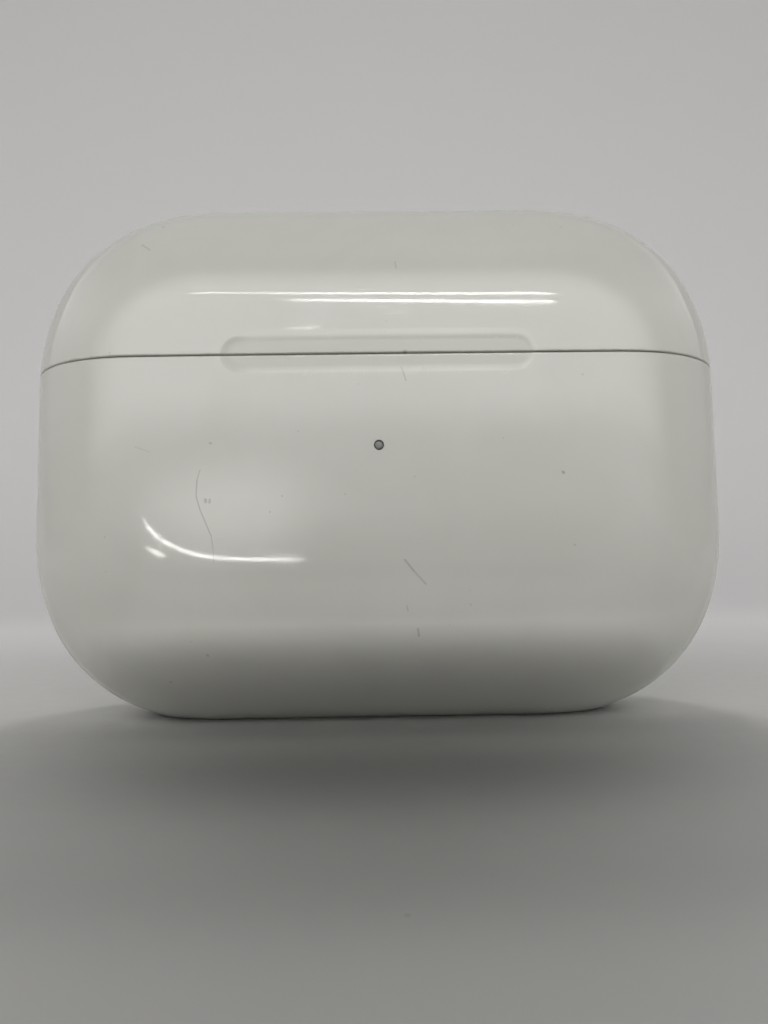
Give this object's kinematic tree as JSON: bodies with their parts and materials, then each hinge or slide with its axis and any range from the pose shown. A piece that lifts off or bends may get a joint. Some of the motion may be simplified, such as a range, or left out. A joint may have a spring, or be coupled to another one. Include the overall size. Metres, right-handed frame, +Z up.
{
  "type": "wireless earbuds case",
  "caption": "Pocket charging case for wireless earbuds: glossy pebble-shaped base with earbud wells, a hinged magnetic lid, rear setup button, front status light and charging port underneath.",
  "frame": {"origin": "centre of the flat foot on the underside, where the case stands", "axes": "+X along the width, +Y from the front with the status light to the back with the hinge, +Z up through the lid"},
  "size_m": [0.0606, 0.0216, 0.0452],
  "materials": {
    "shell_white": "polished warm-white plastic with fine pocket scratches",
    "liner_white": "satin white moulding",
    "hinge_steel": "fine-brushed steel",
    "port_steel": "drawn steel",
    "screw_steel": "plain steel",
    "magnet_nickel": "nickel plated",
    "contact_gold": "gold-plated brass",
    "copper": "enamelled copper winding",
    "ferrite": "matt sintered sheet",
    "board_green": "solder-masked laminate",
    "chip_black": "moulded black resin",
    "cell_foil": "laminated foil pouch",
    "flex_amber": "polyimide film",
    "lens_smoke": "smoked light pipe"
  },
  "bodies": {
    "base": {"base_shell": "shell_white", "cradle": "liner_white", "hinge_base_bracket": "hinge_steel", "hinge_pin": "screw_steel", "hinge_screw_base_left": "screw_steel", "hinge_screw_base_right": "screw_steel", "button_board": "flex_amber", "button_switch": "magnet_nickel", "status_light_lens": "lens_smoke", "status_light_chip": "contact_gold", "port_trim": "port_steel", "port_receptacle": "port_steel", "port_tongue": "chip_black", "contact_block_left": "chip_black", "contact_block_right": "chip_black", "contact_flex_left": "flex_amber", "contact_flex_right": "flex_amber", "main_board": "board_green", "shield_can": "port_steel", "power_chip": "chip_black", "control_chip": "chip_black", "lid_sensor_chip": "chip_black", "cell_connector": "chip_black", "cell_left": "cell_foil", "cell_right": "cell_foil", "charging_coil": "copper", "ferrite_sheet": "ferrite", "closure_magnet_base_left": "magnet_nickel", "closure_magnet_base_right": "magnet_nickel", "seat_magnet_left": "magnet_nickel", "seat_magnet_right": "magnet_nickel"},
    "lid": {"lid_shell": "shell_white", "lid_liner": "liner_white", "hinge_lid_bracket": "hinge_steel", "hinge_screw_lid_left": "screw_steel", "hinge_screw_lid_right": "screw_steel", "closure_magnet_lid_left": "magnet_nickel", "closure_magnet_lid_right": "magnet_nickel", "sensor_magnet": "magnet_nickel"},
    "button": {"setup_button": "shell_white"},
    "pin_left_front": {"charge_pin_left_front": "contact_gold"},
    "pin_left_rear": {"charge_pin_left_rear": "contact_gold"},
    "pin_right_front": {"charge_pin_right_front": "contact_gold"},
    "pin_right_rear": {"charge_pin_right_rear": "contact_gold"}
  },
  "joints": [
    {"name": "lid_hinge", "type": "hinge", "parent": "base", "child": "lid", "pos_m": [0, 0.0092, 0.0272], "axis": [-1, 0, 0], "range_deg": [0, 105]},
    {"name": "button_press", "type": "slide", "parent": "base", "child": "button", "axis": [0, -1, 0], "range_m": [0, 0.0004], "stiffness_N_per_m": 2500, "springref_m": -0.0001},
    {"name": "pin_left_front_press", "type": "slide", "parent": "base", "child": "pin_left_front", "axis": [0, 0, -1], "range_m": [0, 0.0005], "stiffness_N_per_m": 400, "springref_m": -0.0003},
    {"name": "pin_left_rear_press", "type": "slide", "parent": "base", "child": "pin_left_rear", "axis": [0, 0, -1], "range_m": [0, 0.0005], "stiffness_N_per_m": 400, "springref_m": -0.0003},
    {"name": "pin_right_front_press", "type": "slide", "parent": "base", "child": "pin_right_front", "axis": [0, 0, -1], "range_m": [0, 0.0005], "stiffness_N_per_m": 400, "springref_m": -0.0003},
    {"name": "pin_right_rear_press", "type": "slide", "parent": "base", "child": "pin_right_rear", "axis": [0, 0, -1], "range_m": [0, 0.0005], "stiffness_N_per_m": 400, "springref_m": -0.0003}
  ]
}
